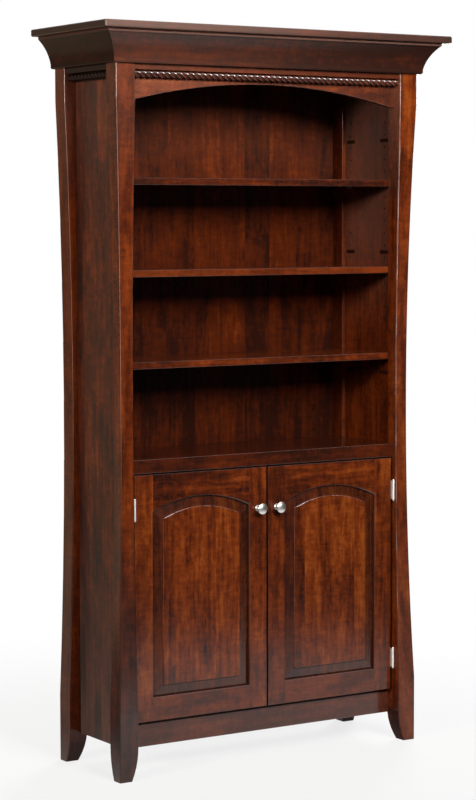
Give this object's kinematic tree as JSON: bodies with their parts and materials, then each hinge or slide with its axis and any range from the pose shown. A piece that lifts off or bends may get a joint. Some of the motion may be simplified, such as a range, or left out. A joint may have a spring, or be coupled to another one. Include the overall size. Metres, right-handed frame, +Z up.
{
  "type": "bookcase with cabinet doors",
  "caption": "Tall varnished wood bookcase with a cove crown, rope mouldings, an arched top rail, open adjustable shelves and raised-panel cabinet doors below.",
  "frame": {"origin": "bottom centre of the bounding box, on the floor under the middle of the top slab", "axes": "+Z up, -Y out of the front with the doors, +X to the viewer's right"},
  "size_m": [1.105, 0.401, 1.981],
  "materials": {
    "varnished_wood": "dark red-brown cherry under a satin-gloss varnish",
    "back_panel": "veneered board with upright grain under a satin varnish",
    "satin_nickel": "satin nickel",
    "steel": "plain steel"
  },
  "bodies": {
    "case": {"top_slab": "varnished_wood", "crown_front": "varnished_wood", "crown_left": "varnished_wood", "crown_right": "varnished_wood", "frieze_front": "varnished_wood", "frieze_left": "varnished_wood", "frieze_right": "varnished_wood", "rope_front": "varnished_wood", "rope_left": "varnished_wood", "rope_right": "varnished_wood", "front_left_post": "varnished_wood", "front_right_post": "varnished_wood", "rear_left_post": "varnished_wood", "rear_right_post": "varnished_wood", "left_side_panel": "varnished_wood", "right_side_panel": "varnished_wood", "arched_rail": "varnished_wood", "deck": "varnished_wood", "deck_rail": "varnished_wood", "bottom_rail": "varnished_wood", "cabinet_floor": "varnished_wood", "back_panel": "back_panel", "pocket_plugs": "varnished_wood", "door_stop": "varnished_wood", "shelf_supports": "satin_nickel", "left_hinge_frame_leaves": "satin_nickel", "right_hinge_frame_leaves": "satin_nickel", "left_hinge_pins": "satin_nickel", "right_hinge_pins": "satin_nickel", "catch_magnets": "steel"},
    "left_door": {"left_hinge_stile": "varnished_wood", "left_meeting_stile": "varnished_wood", "left_top_rail": "varnished_wood", "left_bottom_rail": "varnished_wood", "left_raised_panel": "varnished_wood", "left_knob": "satin_nickel", "left_hinge_door_leaves": "satin_nickel", "left_catch_strike": "steel"},
    "right_door": {"right_hinge_stile": "varnished_wood", "right_meeting_stile": "varnished_wood", "right_top_rail": "varnished_wood", "right_bottom_rail": "varnished_wood", "right_raised_panel": "varnished_wood", "right_knob": "satin_nickel", "right_hinge_door_leaves": "satin_nickel", "right_catch_strike": "steel"},
    "upper_shelf": {"upper_shelf": "varnished_wood"},
    "middle_shelf": {"middle_shelf": "varnished_wood"},
    "lower_shelf": {"lower_shelf": "varnished_wood"},
    "cabinet_shelf": {"cabinet_shelf": "varnished_wood"}
  },
  "joints": [
    {"name": "left_door_hinge", "type": "hinge", "parent": "case", "child": "left_door", "pos_m": [-0.4215, -0.109, 0.476], "axis": [0, 0, -1], "range_deg": [0, 105]},
    {"name": "right_door_hinge", "type": "hinge", "parent": "case", "child": "right_door", "pos_m": [0.4215, -0.109, 0.476], "axis": [0, 0, 1], "range_deg": [0, 105]},
    {"name": "upper_shelf_lift", "type": "slide", "parent": "case", "child": "upper_shelf", "axis": [0, 0, 1], "range_m": [0, 0.04]},
    {"name": "middle_shelf_lift", "type": "slide", "parent": "case", "child": "middle_shelf", "axis": [0, 0, 1], "range_m": [0, 0.04]},
    {"name": "lower_shelf_lift", "type": "slide", "parent": "case", "child": "lower_shelf", "axis": [0, 0, 1], "range_m": [0, 0.04]},
    {"name": "cabinet_shelf_lift", "type": "slide", "parent": "case", "child": "cabinet_shelf", "axis": [0, 0, 1], "range_m": [0, 0.04]}
  ]
}
